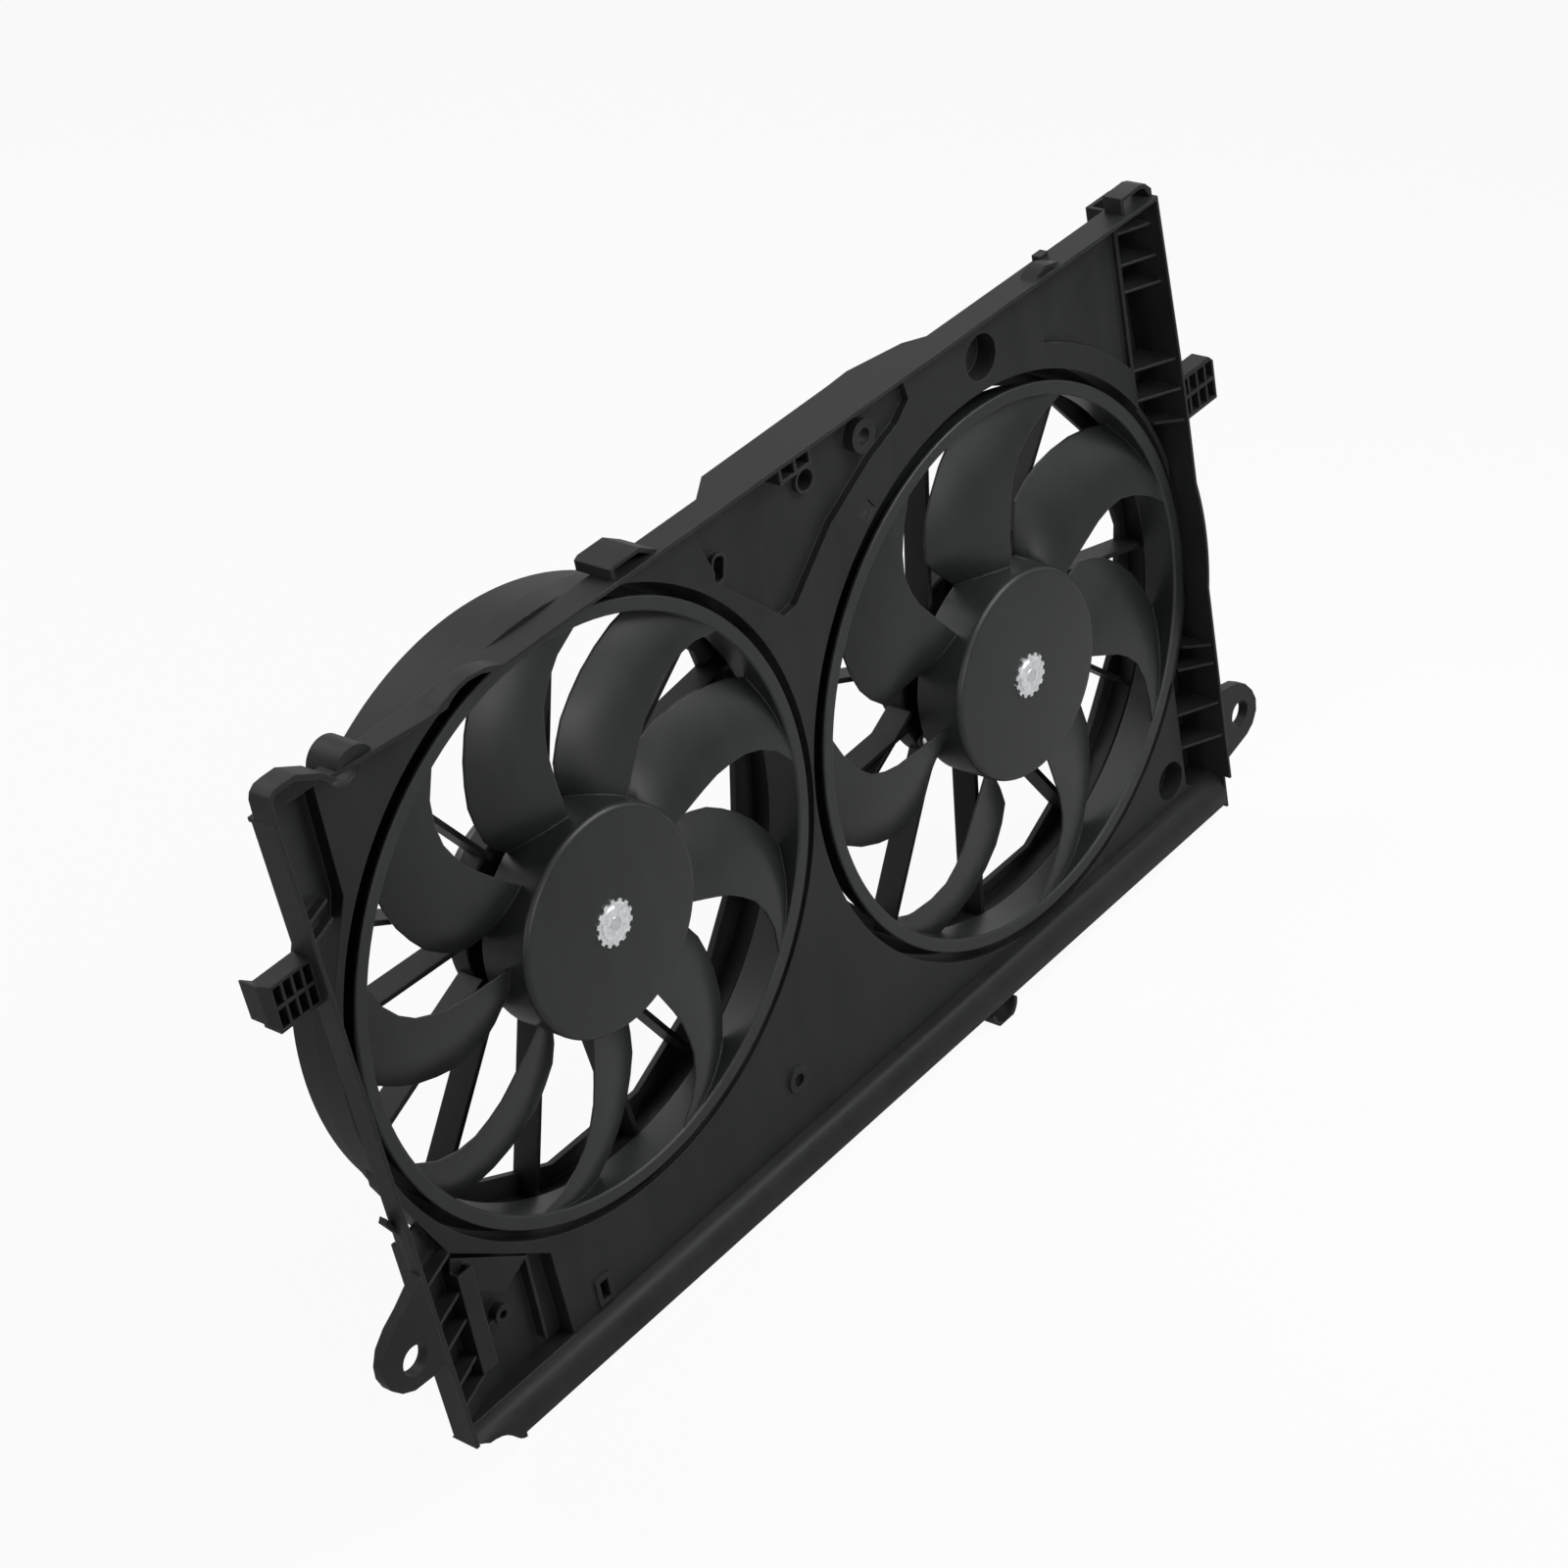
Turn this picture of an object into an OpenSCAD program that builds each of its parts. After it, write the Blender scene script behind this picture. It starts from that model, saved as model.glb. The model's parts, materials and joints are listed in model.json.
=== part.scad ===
// Dual radiator fan assembly: one moulded shroud that carries two electric
// motors, each with its own banded axial fan.
// Front (radiator side) faces -Y, +Z is up, +X is to the right seen from the
// front. y = 0 is the sealing plane of the shroud rim, and x = z = 0 is the
// centre of the hole in the left mounting ear.

/* [Fans] */
// Sideways distance between the two fan axes
fan_span = 350; // [348:0.5:360]
// How much lower the right fan axis lies than the left one
fan_drop = 50; // [44:0.5:56]
// Outer radius of the fan ring's front flange
ring_r = 169.5; // [167:0.25:170.5]
// Inner radius of the fan ring, where the blades end
band_r = 161.3; // [158:0.1:163]
// Wall of the fan ring
band_wall = 2.7; // [2:0.1:3.5]
// Depth of the fan ring
band_depth = 22; // [18:0.5:26]
// Thickness of the ring's front flange
flange_t = 2.4; // [1.6:0.1:3]
// Radius of the fan hub
hub_r = 64; // [62:0.5:68]
// Wall of the fan hub cup
hub_wall = 3; // [2:0.1:4]
// Depth of the fan hub cup
hub_depth = 31; // [28:0.5:34]
// Rounding round the edge of the hub face
hub_round = 3.5; // [1:0.5:6]
// Blades on the left fan
blades_left = 9; // [7:1:11]
// Blades on the right fan
blades_right = 7; // [5:1:9]
// Axial depth of a left blade at its root
blade_depth_left = 17; // [12:0.5:18]
// Axial depth of a right blade at its root
blade_depth_right = 19; // [12:0.5:20]
// Greatest thickness of a blade
blade_t = 3; // [2:0.1:4]

/* [Shroud] */
// Distance from the left fan axis to the outer face of the left wall
left_reach = 182; // [180:0.5:190]
// Distance from the right fan axis to the outer face of the right wall
right_reach = 174; // [173.5:0.5:186]
// Distance from the left fan axis up to the top wall
top_reach = 177; // [176:0.5:186]
// Distance from the right fan axis down to the bottom edge
bottom_reach = 196; // [192:0.5:210]
// Wall thickness of the moulding
wall = 2.5; // [2:0.1:3]
// Depth from the rim's front edge to the front of the panel
panel_y = 16; // [14:0.5:20]
// How far the side channels lie behind the front of the panel
channel_depth = 16; // [12:0.5:20]
// Radius of each fan opening in the panel
lip_r = 176; // [174:0.25:176.5]
// Inner radius of each fan duct
duct_r = 168.5; // [167.5:0.25:170]
// Length of each duct behind the front of the panel
duct_len = 46; // [42:1:52]
// Inner radius of the inward flange at the back of each duct
throat_r = 162; // [150:1:165]

/* [Motor carrier] */
// Arms that carry the left motor
arms_left = 14; // [8:1:16]
// Arms that carry the right motor
arms_right = 12; // [8:1:16]
// Width of a carrier arm at the motor ring
arm_w = 12; // [8:0.5:14]
// Depth of a carrier arm
arm_depth = 10; // [8:0.5:12]
// Outer radius of the motor ring
mring_r = 61; // [60:0.5:66]

/* [Motors] */
// Radius of the motor can
can_r = 48; // [45:0.5:48.5]
// Length of the motor can
can_len = 63; // [60:0.5:66]
// Sheet thickness of the can
can_t = 2; // [1.5:0.1:2.5]
// Radius of the motor shaft
shaft_r = 4; // [3:0.1:5]
// Radius of the armature core
core_r = 37; // [34:0.5:37.5]
// Length of the armature core
core_len = 34; // [28:1:36]
// Slots in the armature core
core_slots = 12; // [8:2:12]
// Outer radius of a shaft bearing
bearing_r = 11; // [9:0.5:12]
// Width of a shaft bearing
bearing_w = 8; // [6:0.5:8]
// Radial clearance of the shaft in its bearings
shaft_gap = 0.03; // [0.02:0.01:0.08]

/* [Mounting] */
// Radius of the hole in each lower mounting ear
ear_hole_r = 8.5; // [5:0.25:9.5]
// Thickness of a mounting ear
ear_t = 7; // [5:0.5:9]
// Distance from the left fan axis out to the left ear hole
ear_left_out = 195; // [193:0.5:198]
// Distance from the right fan axis out to the right ear hole
ear_right_out = 190; // [188:0.5:193]
// How far the left ear hole lies below the left fan axis
ear_left_down = 145; // [138:1:150]
// How far the right ear hole lies below the right fan axis
ear_right_down = 137; // [130:1:144]

/* [Hidden] */
$fn = 96;

// Where things lie, from the sizes above
lx = ear_left_out;
lz = ear_left_down;
rx = lx + fan_span;
rz = lz - fan_drop;
wall_l = lx - left_reach;
wall_r = rx + right_reach;
top_z = lz + top_reach;
top_in = top_z - wall;
bot_z = rz - bottom_reach;
sill_h = 22;
sill_top = bot_z + sill_h;
floor_y = panel_y + channel_depth;
duct_end = panel_y + duct_len;
duct_o = duct_r + wall + 0.5;
ring_y = panel_y - 2;
hub_y = ring_y - 11.5;
hub_in_y = hub_y + hub_wall;
can_y = hub_in_y + 7.5;
can_end = can_y + can_len;
flange_back = 4;
arm_y1 = duct_end - flange_back;
arm_y0 = arm_y1 - arm_depth;
core_y = can_y + 12;
core_end = core_y + core_len;
comm_end = core_end + 12;
card_y = comm_end + 0.5;
cap_end = can_end + 3;
tab_t = 2.4;
screw_r = 2.5;
screw_at = (can_r + mring_r) / 2 + 0.5;
lean = 7;
lip_depth = 12;
plastic = "#26282a";
blade_c = "#2e3134";
steel = "#9a9da0";
zinc = "#d8d9d4";
copper = "#b06a3a";

// A flat shape drawn in x and z, from depth y0 back to y1
module slab(y0, y1) {
    translate([0, y1, 0]) rotate([90, 0, 0]) linear_extrude(y1 - y0) children();
}

// A round bar along +Y
module bar(r, y0, y1, x = 0, z = 0) {
    translate([x, y0, z]) rotate([-90, 0, 0]) cylinder(r = r, h = y1 - y0);
}

// A profile drawn as radius and depth, turned about the Y axis
module turned() {
    rotate([-90, 0, 0]) mirror([0, 1, 0]) rotate_extrude($fn = 180) children();
}

module box_at(x0, x1, y0, y1, z0, z1) {
    translate([x0, y0, z0]) cube([x1 - x0, y1 - y0, z1 - z0]);
}

module at_left() { translate([lx, 0, lz]) children(); }
module at_right() { translate([rx, 0, rz]) children(); }

// The left wall leans outward to the top
function left_x(z) = wall_l - lean * (z - lz) / top_reach;
function left_in(z) = left_x(z) + wall;

// ---- shroud ----

// Everything inside the walls and above the sill
module inside_2d() {
    polygon([[left_in(top_in), top_in], [wall_r - wall, top_in],
        [wall_r - wall, sill_top], [left_in(sill_top), sill_top]]);
}

// Area of the raised front panel
module front_2d() {
    polygon([[lx - 150, top_in], [wall_r - 26, top_in],
        [wall_r - 26, sill_top + 4], [wall_r - 20, sill_top], [lx - 80, sill_top],
        [lx - 80, lz - 165], [lx - 104, lz - 150], [lx - 146, lz - 118],
        [lx - 172, lz - 60], [lx - 172, lz + 60], [lx - 150, lz + 108]]);
}

// Recess between the two openings, below the top wall
module recess_2d(g) {
    polygon([[lx + 118 + g, lz + 168 - g], [lx + 134 + g, lz + 122 + g],
        [lx + 176, lz + 78 + 2 * g], [lx + 190 - g, lz + 80 + g],
        [lx + 226 - g, lz + 112 + g], [lx + 266 - g, lz + 132 + g],
        [lx + 298 - g, lz + 143 + g], [lx + 300 - g, lz + 168 - g]]);
}

module openings_2d(r) {
    translate([lx, lz]) circle(r = r, $fn = 180);
    translate([rx, rz]) circle(r = r, $fn = 180);
}

module panel_holes_2d() {
    translate([rx + 15, rz + 195]) circle(r = 13.7);
    translate([rx + 133, rz - 158]) circle(r = 12.5);
    translate([lx + 132, lz + 152]) circle(r = 6.5);
    translate([lx + 197, lz + 148]) square([15, 8]);
    translate([lx - 55, lz - 212]) square([5, 11]);
    translate([lx - 142, lz + 162]) square([24, 8]);
}

// Strips that step back from the panel's side edges to the channel floors
module steps_2d() {
    difference() {
        intersection() { front_2d(); inside_2d(); }
        intersection() {
            translate([wall, 0]) front_2d();
            translate([-wall, 0]) front_2d();
        }
    }
}

module floors_2d() {
    difference() {
        inside_2d();
        intersection() {
            translate([wall, 0]) front_2d();
            translate([-wall, 0]) front_2d();
        }
        translate([lx - 200, lz - 88]) square([180, 184]);
    }
}

module shroud_panel() {
    boss_r = 10;
    color(plastic) difference() {
        union() {
            slab(panel_y, panel_y + wall) difference() {
                intersection() { front_2d(); inside_2d(); }
                recess_2d(0);
            }
            slab(panel_y, panel_y + 5 + wall) difference() {
                recess_2d(0);
                recess_2d(wall);
            }
            slab(panel_y + 5, panel_y + 5 + wall) recess_2d(wall / 2);
            slab(floor_y, floor_y + wall) floors_2d();
            slab(panel_y, floor_y + wall) steps_2d();
            bar(boss_r, panel_y - 2, panel_y + 6, rx - 90, rz + 200);
            bar(boss_r - 1, panel_y - 1.5, panel_y + 1, lx + 119, lz - 190);
        }
        slab(-1, panel_y + lip_depth + 2) openings_2d(lip_r);
        slab(panel_y, duct_end) openings_2d(duct_o);
        slab(-1, panel_y + 5 + wall + 1) panel_holes_2d();
        bar(boss_r / 2, panel_y - 3, panel_y + 8, rx - 90, rz + 200);
        bar(boss_r / 2 - 0.5, panel_y - 3, panel_y + 4, lx + 119, lz - 190);
    }
}

module rim_top() {
    horn_w = 17;
    horn_h = 13;
    x0 = left_x(top_in);
    color(plastic) difference() {
        union() {
            slab(0, panel_y + wall) polygon([[x0, top_in], [left_x(top_z), top_z],
                [wall_r, top_z], [wall_r, top_in]]);
            slab(panel_y + wall, panel_y + 14) polygon([[lx + 140, top_in],
                [lx + 152, top_z], [lx + 290, top_z], [lx + 302, top_in]]);
            slab(0, panel_y + 8) polygon([[x0, top_in], [x0, top_z + horn_h],
                [x0 + horn_w + 4, top_z + horn_h], [x0 + horn_w + 22, top_in]]);
            box_at(lx + 310, lx + 320, panel_y + wall, panel_y + 7, top_in, top_z + 2);
            box_at(lx + 424, lx + 434, panel_y + wall, panel_y + 5, top_in, top_z + 2);
        }
        slab(-1, panel_y + 9) polygon([[x0 + wall, top_in - 1],
            [x0 + wall, top_z + horn_h - wall],
            [x0 + horn_w + 2.5, top_z + horn_h - wall], [x0 + horn_w + 15, top_in - 1]]);
    }
}

module rim_left() {
    cut_hi = lz + 96;
    cut_lo = lz - 88;
    color(plastic) union() {
        difference() {
            slab(0, floor_y + wall) polygon([[left_x(sill_top), sill_top],
                [left_in(sill_top), sill_top], [left_in(top_in), top_in],
                [left_x(top_in), top_in]]);
            box_at(left_x(top_z) - 5, left_in(sill_top) + 5, panel_y + wall,
                floor_y + wall + 1, cut_lo, cut_hi);
        }
        for (h = [lz + 114, lz + 101])
            rib_left(h, 26);
        for (h = [lz - 128, lz - 146, lz - 164, lz - 188, lz - 206])
            rib_left(h, 22);
    }
}

// A gusset in the left channel, from near the wall's front edge to the floor
module rib_left(h, w) {
    x0 = left_in(h) - 0.5;
    translate([0, 0, h]) linear_extrude(1.8)
        polygon([[x0, 3], [x0 + w, floor_y - 4], [x0 + w, floor_y], [x0, floor_y]]);
}

module rim_right() {
    color(plastic) union() {
        box_at(wall_r - wall, wall_r, 0, floor_y + wall, sill_top, top_in);
        box_at(wall_r - wall, wall_r, panel_y - 11, floor_y + wall, bot_z, sill_top);
        for (h = [156, 137, 120, 68, 48, 29, -128, -141, -170, -194])
            rib_right(lz + h);
    }
}

// A gusset in the right channel, kept clear of the duct
module rib_right(h) {
    x1 = wall_r - wall;
    d = h - rz;
    edge = rx + (abs(d) < lip_r ? sqrt(lip_r * lip_r - d * d) : 0);
    x0 = max(wall_r - 26, edge + 0.6);
    if (x0 < x1 - 3)
        translate([0, 0, h]) linear_extrude(1.8)
            polygon([[x1, 3], [x1, floor_y], [x0, floor_y], [x0, floor_y - 6]]);
}

// The bottom of the shroud: a hollow lip that stands forward of the panel
module bottom_sill() {
    x0 = lx - 136;
    color(plastic) difference() {
        union() {
            translate([x0, 0, bot_z]) sill_run(wall_r - wall - x0);
            difference() {
                slab(panel_y - 11, floor_y + wall) corner_2d(0);
                slab(panel_y - 11 + wall, floor_y + wall + 1) corner_2d(wall);
            }
            box_at(left_x(sill_top), lx - 80, panel_y, floor_y + wall,
                sill_top - wall, sill_top);
            box_at(wall_r - 26, wall_r - wall, panel_y, floor_y + wall,
                sill_top - wall, sill_top);
            slab(panel_y - 11, panel_y + 3) difference() {
                translate([rx - 63, bot_z]) circle(r = 12);
                translate([rx - 63, bot_z]) circle(r = 12 - wall);
                translate([rx - 80, bot_z]) square([34, 20]);
            }
        }
        slab(-1, duct_end) openings_2d(lip_r);
    }
}

module sill_run(len) {
    y = panel_y;
    rotate([90, 0, 90]) linear_extrude(len)
        polygon([[y, sill_h], [y - 5, sill_h - 2], [y - 9, sill_h - 5],
            [y - 11, sill_h - 10], [y - 11, 3], [y - 8, 0], [y + wall, 0],
            [y + wall, wall], [y - 7, wall], [y - 11 + wall, 4],
            [y - 11 + wall, sill_h - 10.5], [y - 7, sill_h - 6.5],
            [y - 4, sill_h - 4.4], [y + wall, sill_h - wall], [y + wall, sill_h]]);
}

// Lower left corner, below the side wall; g is the inset of its hollow
module corner_2d(g) {
    polygon([[left_x(sill_top) + g, sill_top - g], [lx - 136, sill_top - g],
        [lx - 136, bot_z + g], [lx - 144, bot_z + 5 + g], [lx - 150, bot_z + 8 + g],
        [left_x(bot_z) + 5 + g, bot_z + 9 + g]]);
}

module top_brackets() {
    y0 = 3;
    y1 = panel_y + 16;
    ax = lx - 129.5;
    ar = 13;
    bx = lx + 50;
    hx = wall_r - 22;
    color(plastic) {
        slab(y0, y1) difference() {
            translate([ax, top_z - 6]) circle(r = ar);
            translate([ax, top_z - 6]) circle(r = ar - wall);
            translate([ax - ar - 1, top_z - ar - 10]) square([2 * ar + 2, ar + 10]);
        }
        slab(y0, y1) difference() {
            polygon([[bx, top_z], [bx, top_z + 6], [bx + 3, top_z + 7.5],
                [bx + 22, top_z + 7.5], [bx + 34, top_z]]);
            polygon([[bx + wall, top_z - 1], [bx + wall, top_z + 5],
                [bx + 21, top_z + 5], [bx + 29, top_z], [bx + 29, top_z - 1]]);
        }
        slab(y0, y1) polygon([[hx, top_z], [hx, top_z + 5], [wall_r, top_z + 5],
            [wall_r, top_z], [wall_r - wall, top_z], [wall_r - wall, top_z + wall],
            [hx + wall, top_z + wall], [hx + wall, top_z]]);
    }
}

module ear_left() {
    hx = lx - ear_left_out;
    hz = lz - ear_left_down;
    z0 = hz - 18;
    z1 = hz + 46;
    color(plastic) difference() {
        slab(0, ear_t) polygon([[left_x(z0), z0], [left_x(z1), z1],
            [hx - 5, hz + 37], [hx - 15, hz + 30], [hx - 22, hz + 21],
            [hx - 25, hz + 11], [hx - 25, hz + 1], [hx - 21, hz - 8],
            [hx - 14, hz - 15], [hx - 5, hz - 18]]);
        bar(ear_hole_r, -1, ear_t + 1, hx, hz);
    }
}

module ear_right() {
    hx = rx + ear_right_out;
    hz = rz - ear_right_down;
    color(plastic) difference() {
        slab(0, ear_t) polygon([[wall_r, hz + 26], [hx + 1, hz + 22],
            [hx + 9, hz + 17], [hx + 15, hz + 9], [hx + 18, hz + 1],
            [hx + 17, hz - 7], [hx + 12, hz - 14], [hx + 5, hz - 18],
            [wall_r, hz - 23]]);
        bar(ear_hole_r, -1, ear_t + 1, hx, hz);
    }
}

// A clip block with two rows of four pockets in its front
module clip_grid(x0, z0, w, h) {
    cw = (w - 5 * 1.6) / 4;
    ch = (h - 3 * 2) / 2;
    for (i = [0:3], j = [0:1])
        box_at(x0 + 1.6 + i * (cw + 1.6), x0 + 1.6 + i * (cw + 1.6) + cw,
            panel_y - 11, panel_y, z0 + 2 + j * (ch + 2), z0 + 2 + j * (ch + 2) + ch);
}

module side_clip_left() {
    z0 = lz + 69;
    z1 = z0 + 30;
    x0 = left_x(z0) - 30;
    color(plastic) difference() {
        union() {
            slab(panel_y - 10, panel_y + 2) polygon([[x0, z0], [left_x(z0), z0],
                [left_x(z1), z1], [x0, z1]]);
            slab(panel_y - 10, panel_y + 2) polygon([[x0, z0 + 2], [x0, z1],
                [x0 - 6, z1 + 5], [x0 - 7, z1 + 5], [x0 - 6, z0 + 9]]);
        }
        clip_grid(x0, z0, 30, 30);
    }
}

module side_clip_right() {
    z0 = rz + 78;
    x1 = wall_r + 33;
    color(plastic) difference() {
        slab(panel_y - 10, panel_y + 2) polygon([[wall_r, z0], [x1, z0],
            [x1, z0 + 25], [x1 - 4, z0 + 29], [wall_r, z0 + 29]]);
        clip_grid(wall_r, z0, 33, 28);
    }
}

// ---- ducts and motor carriers ----

// Bell mouth, round duct and the inward flange at its back
module duct() {
    b = lip_r - duct_r;
    o = lip_r - duct_o;
    y = panel_y;
    turned() polygon(concat(
        [for (a = [0:10:90]) [lip_r - b * sin(a), y + lip_depth * (1 - cos(a))]],
        [[duct_r, arm_y1], [throat_r, arm_y1], [throat_r, duct_end],
            [duct_o, duct_end]],
        [for (a = [90:-10:0])
            [lip_r - o * sin(a), y + wall + (lip_depth - 0.5) * (1 - cos(a))]]));
}

module duct_left() {
    color(plastic) intersection() {
        at_left() duct();
        box_at(left_in(lz) - 1, rx, 0, duct_end + 1, lz - 200, top_in);
    }
}

module duct_right() {
    color(plastic) intersection() {
        at_right() duct();
        box_at(lx, wall_r - wall, 0, duct_end + 1, rz - 200, top_in);
    }
}

module arms(n, turn) {
    difference() {
        for (i = [0:n - 1]) rotate([0, -turn - i * 360 / n, 0])
            slab(arm_y0, arm_y1) polygon([[mring_r - 3, -arm_w / 2],
                [duct_o, -arm_w / 2 + 1.5], [duct_o, arm_w / 2 - 1.5],
                [mring_r - 3, arm_w / 2]]);
        bar(mring_r, arm_y0 - 1, arm_y1 + 1);
        difference() {
            bar(duct_o + 5, arm_y0 - 1, arm_y1 + 1);
            bar(duct_r, arm_y0 - 2, arm_y1 + 2);
        }
    }
}

module carrier_arms_left() { color(plastic) at_left() arms(arms_left, 251.2); }
module carrier_arms_right() { color(plastic) at_right() arms(arms_right, 232); }

// Ring that holds the motor can, with three screw bosses
module motor_ring() {
    difference() {
        turned() polygon([[can_r, arm_y0], [mring_r - 1, arm_y0],
            [mring_r, arm_y0 + 1], [mring_r, duct_end], [mring_r - 4, duct_end],
            [mring_r - 4, arm_y1], [can_r, arm_y1]]);
        screw_places() bar(screw_r, arm_y0 - 1, arm_y1 + 1);
    }
}

module screw_places() {
    for (a = [90, 210, 330]) rotate([0, -a, 0])
        translate([screw_at, 0, 0]) children();
}

module motor_ring_left() { color(plastic) at_left() motor_ring(); }
module motor_ring_right() { color(plastic) at_right() motor_ring(); }

// ---- fans ----

// Angle of a blade's leading edge against its mid radius, for each fan
function lead_left(r) = lookup(r, [[60, -1.5], [75, -0.3], [93, 0.2], [109, 0],
    [128, -2.2], [146, -6.5], [159, -12], [164, -15]]);
function lead_right(r) = lookup(r, [[60, 1.5], [90, 0.3], [112, -0.3],
    [131, -3.8], [143, -8.4], [153, -12.8], [164, -18]]);
// Angle of the trailing edge, measured from the same line
function trail_left(r) = lookup(r, [[60, 26], [72, 29.5], [82, 30.5],
    [106, 25.8], [134, 17], [157, 8.6], [164, 5.5]]);
function trail_right(r) = lookup(r, [[60, 25], [80, 33], [96, 35],
    [114, 30], [137, 20], [157, 10], [164, 6]]);

function lead(side, r) = side == 0 ? lead_left(r) : lead_right(r);
function trail(side, r) = side == 0 ? trail_left(r) : trail_right(r);

// Mid-thickness point of a blade at radius r and chord share s
function blade_pt(side, depth, r, s, off) =
    let (a = lead(side, r) + (trail(side, r) - lead(side, r)) * s,
        k = (r - hub_r) / (band_r - hub_r),
        y = ring_y + 1.3 + depth * (1 - 0.2 * k) * s - 2.2 * 4 * s * (1 - s))
    [r * cos(a), y + off, r * sin(a)];

// One swept blade as a closed skin between hub and ring
module blade(side, depth) {
    n = 9;
    m = 6;
    r0 = hub_r - hub_wall / 2;
    r1 = band_r + band_wall / 2;
    rr = [for (i = [0:n]) r0 + (r1 - r0) * i / n];
    th = [for (j = [0:m]) blade_t * (0.4 + 0.6 * sin(180 * j / m)) / 2];
    front = [for (i = [0:n], j = [0:m]) blade_pt(side, depth, rr[i], j / m, -th[j])];
    back = [for (i = [0:n], j = [0:m]) blade_pt(side, depth, rr[i], j / m, th[j])];
    w = m + 1;
    b = w * (n + 1);
    faces = concat(
        [for (i = [0:n - 1], j = [0:m - 1])
            [i * w + j, i * w + j + 1, (i + 1) * w + j + 1]],
        [for (i = [0:n - 1], j = [0:m - 1])
            [i * w + j, (i + 1) * w + j + 1, (i + 1) * w + j]],
        [for (i = [0:n - 1], j = [0:m - 1])
            [b + i * w + j, b + (i + 1) * w + j + 1, b + i * w + j + 1]],
        [for (i = [0:n - 1], j = [0:m - 1])
            [b + i * w + j, b + (i + 1) * w + j, b + (i + 1) * w + j + 1]],
        [for (j = [0:m - 1]) [j + 1, j, b + j, b + j + 1]],
        [for (j = [0:m - 1]) [n * w + j, n * w + j + 1, b + n * w + j + 1, b + n * w + j]],
        [for (i = [0:n - 1]) [i * w, (i + 1) * w, b + (i + 1) * w, b + i * w]],
        [for (i = [0:n - 1])
            [(i + 1) * w + m, i * w + m, b + i * w + m, b + (i + 1) * w + m]]);
    polyhedron(points = concat(front, back), faces = faces, convexity = 4);
}

// Hub cup with its rounded face, shaft boss and inner ribs
module hub() {
    c = hub_round;
    boss = shaft_r + 7;
    turned() polygon(concat(
        [[shaft_r, hub_y]],
        [for (a = [90:-15:0]) [hub_r - c + c * cos(a), hub_y + c - c * sin(a)]],
        [[hub_r, hub_y + hub_depth], [hub_r - hub_wall, hub_y + hub_depth],
            [hub_r - hub_wall, hub_in_y], [boss, hub_in_y],
            [boss, can_y - 2], [shaft_r, can_y - 2]]));
    for (i = [0:8]) rotate([0, i * 40 + 10, 0])
        box_at(boss - 0.5, hub_r - hub_wall + 0.5, hub_in_y - 0.5, hub_in_y + 3.5, -1, 1);
}

// Ring that joins the blade tips, with its front flange
module fan_ring() {
    y = ring_y;
    o = band_r + band_wall;
    turned() polygon([[band_r + 1, y], [ring_r - 0.6, y], [ring_r, y + 0.6],
        [ring_r, y + flange_t], [o, y + flange_t], [o, y + band_depth],
        [band_r, y + band_depth], [band_r, y + 1]]);
}

module fan(side, count, turn, depth) {
    hub();
    fan_ring();
    for (i = [0:count - 1]) rotate([0, -turn - i * 360 / count, 0])
        blade(side, depth);
}

module fan_left() { color(blade_c) at_left() fan(0, blades_left, 53.5, blade_depth_left); }
module fan_right() { color(blade_c) at_right() fan(1, blades_right, 27, blade_depth_right); }

// Toothed push-on nut that locks the hub to the shaft
module push_nut() {
    n = 14;
    slab(hub_y - 1.2, hub_y) difference() {
        polygon([for (i = [0:n - 1], k = [0:3])
            let (a = (i + [0, 0.42, 0.5, 0.92][k]) * 360 / n,
                r = k < 2 ? 13.4 : 11.8) [r * cos(a), r * sin(a)]]);
        circle(r = shaft_r);
    }
    slab(hub_y - 2, hub_y - 1.2) difference() {
        circle(r = 9.5);
        circle(r = shaft_r);
    }
}

module push_nut_left() { color(zinc) at_left() push_nut(); }
module push_nut_right() { color(zinc) at_right() push_nut(); }

// ---- motors ----

module shaft() {
    difference() {
        bar(shaft_r, hub_y - 2.3, can_end + bearing_w - 0.5);
        box_at(shaft_r - 1, shaft_r + 1, hub_y - 3, hub_y - 2 + 0.4, -6, 6);
    }
}

module shaft_left() { color(steel) at_left() shaft(); }
module shaft_right() { color(steel) at_right() shaft(); }

slot_at = core_r - 10;
slot_r = 5;

module armature() {
    slab(core_y, core_end) difference() {
        circle(r = core_r);
        circle(r = shaft_r);
        for (i = [0:core_slots - 1]) rotate(i * 360 / core_slots) {
            translate([slot_at, 0]) circle(r = slot_r);
            translate([slot_at, -1.3]) square([14, 2.6]);
        }
    }
}

module armature_left() { color("#77797b") at_left() armature(); }
module armature_right() { color("#77797b") at_right() armature(); }

// End turns on both sides of the core and one coil side in each slot
module windings() {
    i = bearing_r + 4.5;
    o = slot_at + slot_r + 1;
    for (y = [core_y - 6, core_end]) turned()
        polygon([[i + 2, y], [o - 2, y], [o, y + 2], [o, y + 4], [o - 2, y + 6],
            [i + 2, y + 6], [i, y + 4], [i, y + 2]]);
    for (k = [0:core_slots - 1]) rotate([0, -k * 360 / core_slots, 0])
        bar(slot_r - 0.5, core_y - 3, core_end + 3, slot_at);
}

module windings_left() { color(copper) at_left() windings(); }
module windings_right() { color(copper) at_right() windings(); }

module commutator() {
    slab(core_end, comm_end) difference() {
        circle(r = 12);
        circle(r = shaft_r);
        for (i = [0:core_slots - 1]) rotate((i + 0.5) * 360 / core_slots)
            translate([10.8, -0.4]) square([3, 0.8]);
    }
}

module commutator_left() { color(copper) at_left() commutator(); }
module commutator_right() { color(copper) at_right() commutator(); }

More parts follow.
